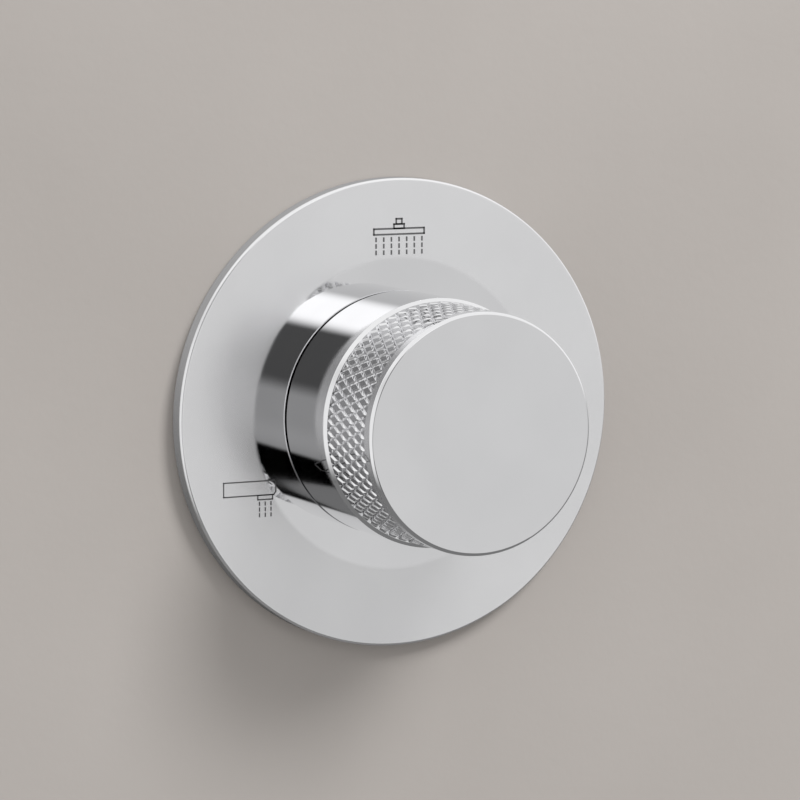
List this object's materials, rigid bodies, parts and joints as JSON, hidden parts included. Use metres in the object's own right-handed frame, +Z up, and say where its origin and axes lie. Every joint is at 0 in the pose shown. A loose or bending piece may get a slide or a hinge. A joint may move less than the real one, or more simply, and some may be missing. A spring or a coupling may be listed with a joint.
{
  "type": "shower diverter valve",
  "caption": "Concealed shower diverter: round chrome wall plate with a knurled turning knob, and a brass valve body with threaded ports inside the wall.",
  "frame": {"origin": "centre of the wall plate's back face, where the knob's axis meets the wall", "axes": "+X to the right seen from the room, +Y into the wall along the knob's axis, +Z up"},
  "size_m": [0.08, 0.1018, 0.08],
  "materials": {
    "chrome": "polished chrome plating on brass",
    "knob_chrome": "polished chrome plating with a diamond knurl",
    "cast_brass": "as cast, with machined faces",
    "turned_brass": "turned",
    "steel": "stainless, plain",
    "white_plastic": "moulded acetal",
    "grey_plastic": "moulded",
    "ceramic": "lapped alumina ceramic",
    "rubber": "smooth black rubber",
    "foam": "closed-cell foam"
  },
  "bodies": {
    "valve": {"escutcheon_plate": "chrome", "plate_gasket": "foam", "plate_seal": "rubber", "plate_nut": "turned_brass", "extension_sleeve": "turned_brass", "fixed_disc": "ceramic", "cartridge_base": "grey_plastic", "port_seals": "rubber", "cartridge_housing": "white_plastic", "body_seal": "rubber", "gland_nut": "turned_brass", "stop_ring": "grey_plastic", "valve_body": "cast_brass"},
    "knob": {"knob": "knob_chrome", "spline_insert": "white_plastic", "set_screw": "steel", "spindle": "turned_brass", "spindle_seals": "rubber", "spindle_clip": "steel", "thrust_washer": "white_plastic", "disc_carrier": "grey_plastic", "moving_disc": "ceramic"}
  },
  "joints": [
    {"name": "knob_turn", "type": "hinge", "parent": "valve", "child": "knob", "pos_m": [0, 0, 0], "axis": [0, -1, 0], "range_deg": [0, 120]}
  ]
}
